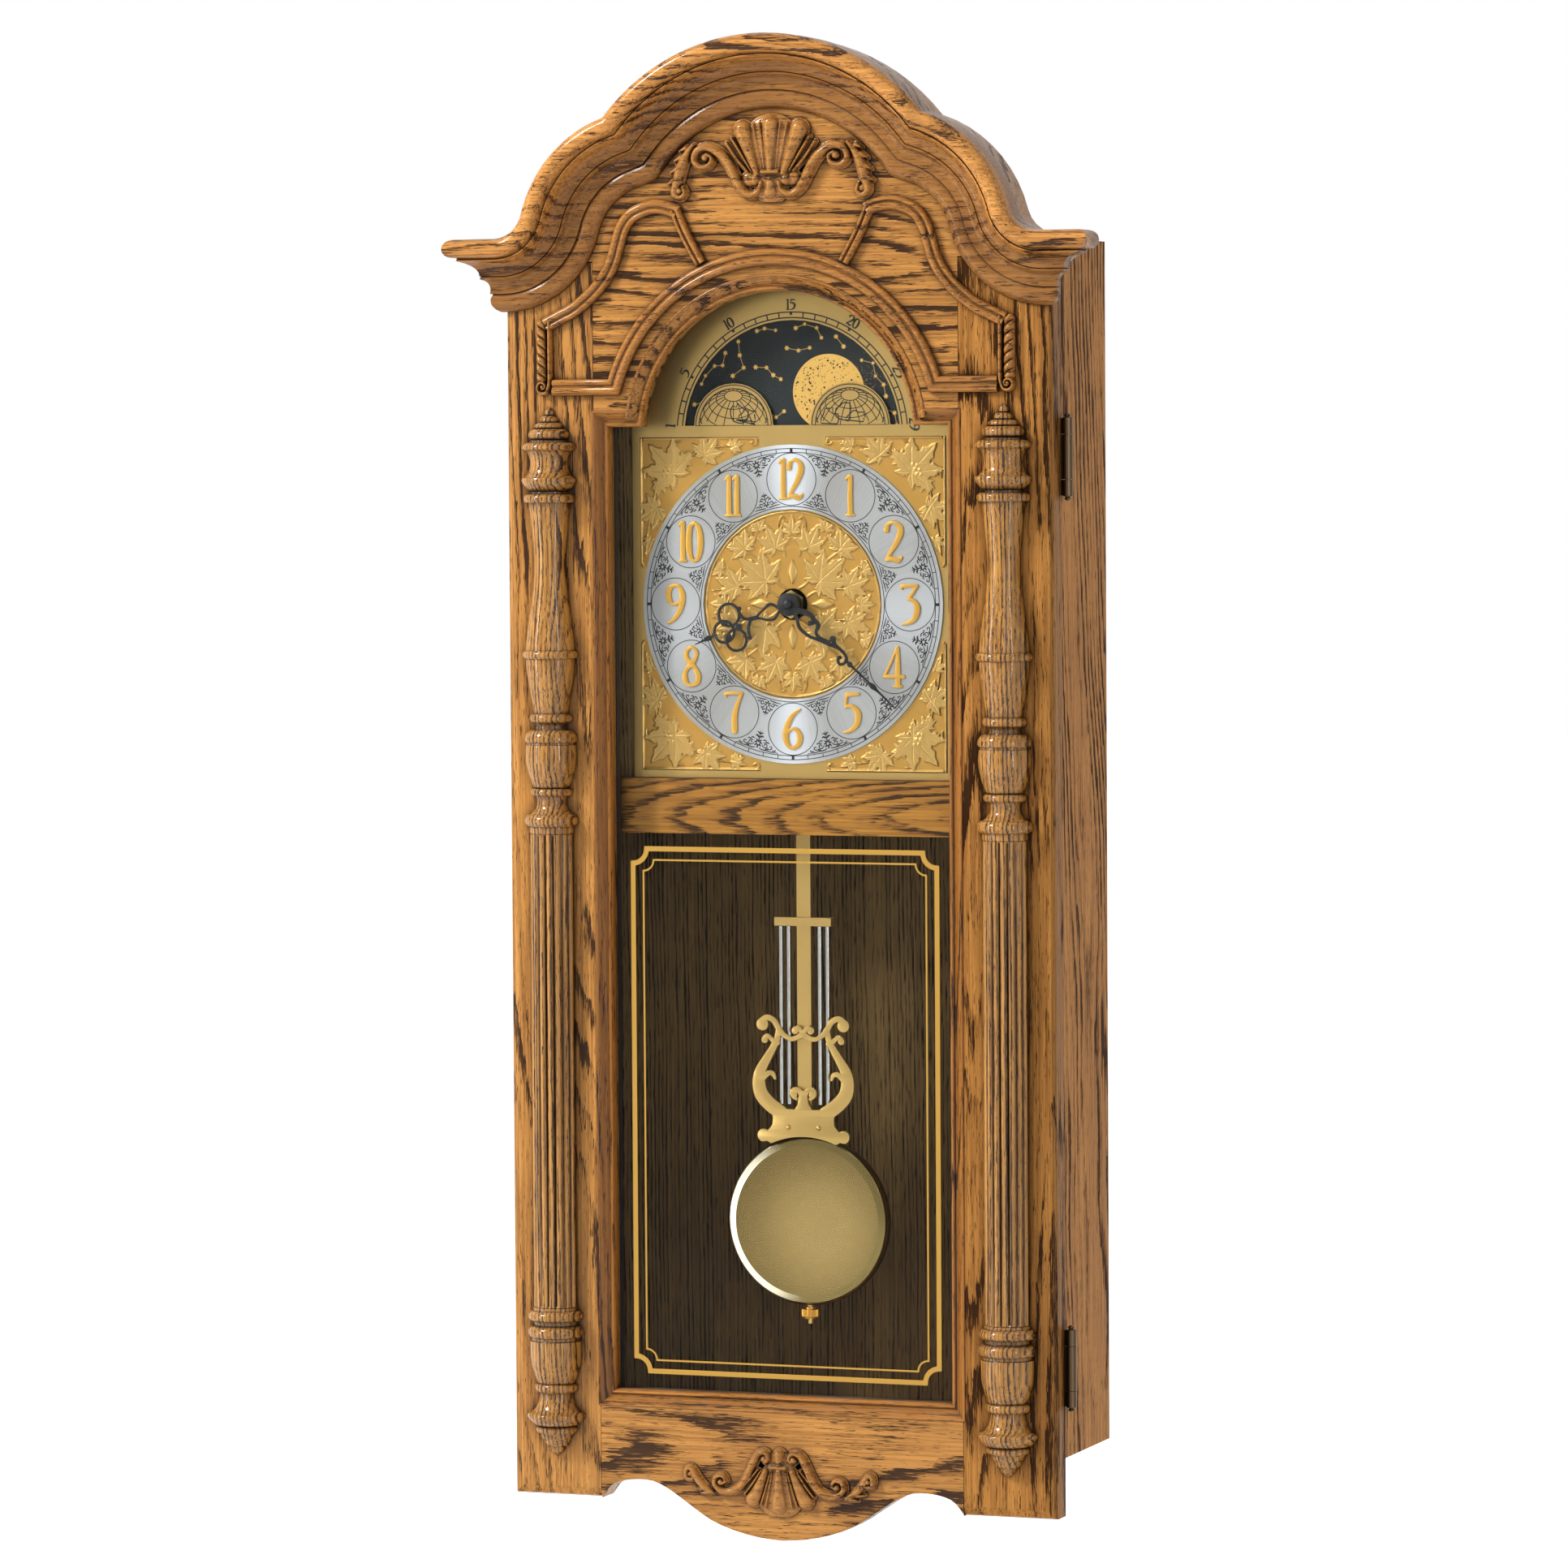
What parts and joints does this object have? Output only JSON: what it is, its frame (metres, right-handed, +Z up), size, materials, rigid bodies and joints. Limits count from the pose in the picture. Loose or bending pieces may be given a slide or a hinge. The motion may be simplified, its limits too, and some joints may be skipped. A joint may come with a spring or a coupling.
{
  "type": "chiming wall clock",
  "caption": "Tall arched oak wall clock with a glazed swing door, half columns, moon-phase dial, serpentine hands and a lyre pendulum in a dark case.",
  "frame": {"origin": "on the wall plane, at the middle of the case's back panel", "axes": "+X to the viewer's right, +Y into the wall, +Z up"},
  "size_m": [0.402, 0.1338, 0.8892],
  "materials": {
    "oak": "semi-gloss lacquered oak, open grain",
    "dark_wood": "dark stained",
    "satin_brass": "satin",
    "polished_brass": "polished",
    "silver": "silvered, fine brushed",
    "chrome": "polished",
    "steel": "zinc plated",
    "bronze": "dark bronze",
    "hand_black": "satin black",
    "black_plastic": "matt",
    "moon_slate": "matt dark slate",
    "cell_wrap": "plain wrap",
    "clear_glass": "clear"
  },
  "bodies": {
    "case": {"case_side_left": "oak", "case_side_right": "oak", "case_top": "oak", "case_bottom": "oak", "back_panel": "dark_wood", "hanging_rail": "oak", "hanger_plate": "steel", "crossbar": "oak", "dial_board": "dark_wood", "dial_plate": "satin_brass", "chapter_ring": "silver", "moon_post": "polished_brass", "movement_case": "black_plastic", "battery_left": "cell_wrap", "battery_right": "cell_wrap", "battery_cover": "black_plastic", "movement_nut": "polished_brass", "speaker": "black_plastic", "hinge_leaf_case_upper": "bronze", "hinge_leaf_case_lower": "bronze", "hinge_pin_upper": "bronze", "hinge_pin_lower": "bronze", "catch_magnet": "black_plastic"},
    "door": {"stile_left": "oak", "stile_right": "oak", "bottom_rail": "oak", "arch_panel": "oak", "cornice": "oak", "column_left": "oak", "column_right": "oak", "arch_trim": "oak", "scroll_trim_left": "oak", "scroll_trim_right": "oak", "crown_carving": "oak", "base_carving": "oak", "glass": "clear_glass", "glass_stop_left": "black_plastic", "glass_stop_right": "black_plastic", "glass_stop_bottom": "black_plastic", "hinge_leaf_door_upper": "bronze", "hinge_leaf_door_lower": "bronze", "strike_plate": "steel"},
    "minute": {"minute_hand": "hand_black", "minute_arbor": "steel", "hand_nut": "hand_black", "time_set_knob": "black_plastic"},
    "hour": {"hour_hand": "hand_black", "hour_pipe": "polished_brass"},
    "moon": {"moon_disc": "moon_slate"},
    "pendulum": {"pendulum_rod": "satin_brass", "tube_cap": "satin_brass", "tube_1": "chrome", "tube_2": "chrome", "tube_3": "chrome", "tube_4": "chrome", "lyre": "satin_brass"},
    "bob": {"bob": "polished_brass"},
    "rating_nut": {"rating_nut": "polished_brass"},
    "chime_switch": {"chime_switch": "steel"},
    "volume_switch": {"volume_switch": "steel"}
  },
  "joints": [
    {"name": "door_hinge", "type": "hinge", "parent": "case", "child": "door", "pos_m": [0.1744, -0.0877, 0], "axis": [0, 0, 1], "range_deg": [0, 110]},
    {"name": "minute_turn", "type": "hinge", "parent": "case", "child": "minute", "pos_m": [0, -0.0868, 0.1435], "axis": [0, 1, 0], "continuous": true},
    {"name": "hour_turn", "type": "hinge", "parent": "case", "child": "hour", "pos_m": [0, -0.0842, 0.1435], "axis": [0, 1, 0], "continuous": true},
    {"name": "moon_turn", "type": "hinge", "parent": "case", "child": "moon", "pos_m": [0, -0.0776, 0.2435], "axis": [0, 1, 0], "continuous": true},
    {"name": "pendulum_swing", "type": "hinge", "parent": "case", "child": "pendulum", "pos_m": [0, -0.0626, 0.0725], "axis": [0, 1, 0], "range_deg": [-5, 5]},
    {"name": "bob_slide", "type": "slide", "parent": "pendulum", "child": "bob", "axis": [0, 0, 1], "range_m": [-0.002, 0.002]},
    {"name": "rating_nut_turn", "type": "hinge", "parent": "bob", "child": "rating_nut", "pos_m": [0, -0.05555, -0.2774], "axis": [0, 0, 1], "range_deg": [-901, 901]},
    {"name": "chime_switch_slide", "type": "slide", "parent": "case", "child": "chime_switch", "axis": [1, 0, 0], "range_m": [0, 0.008]},
    {"name": "volume_switch_slide", "type": "slide", "parent": "case", "child": "volume_switch", "axis": [1, 0, 0], "range_m": [0, 0.008]}
  ],
  "couplings": [
    {"joint": "hour_turn", "follows": "minute_turn", "ratio": 0.083333},
    {"joint": "rating_nut_turn", "follows": "bob_slide", "rad_per_m": 7854}
  ]
}
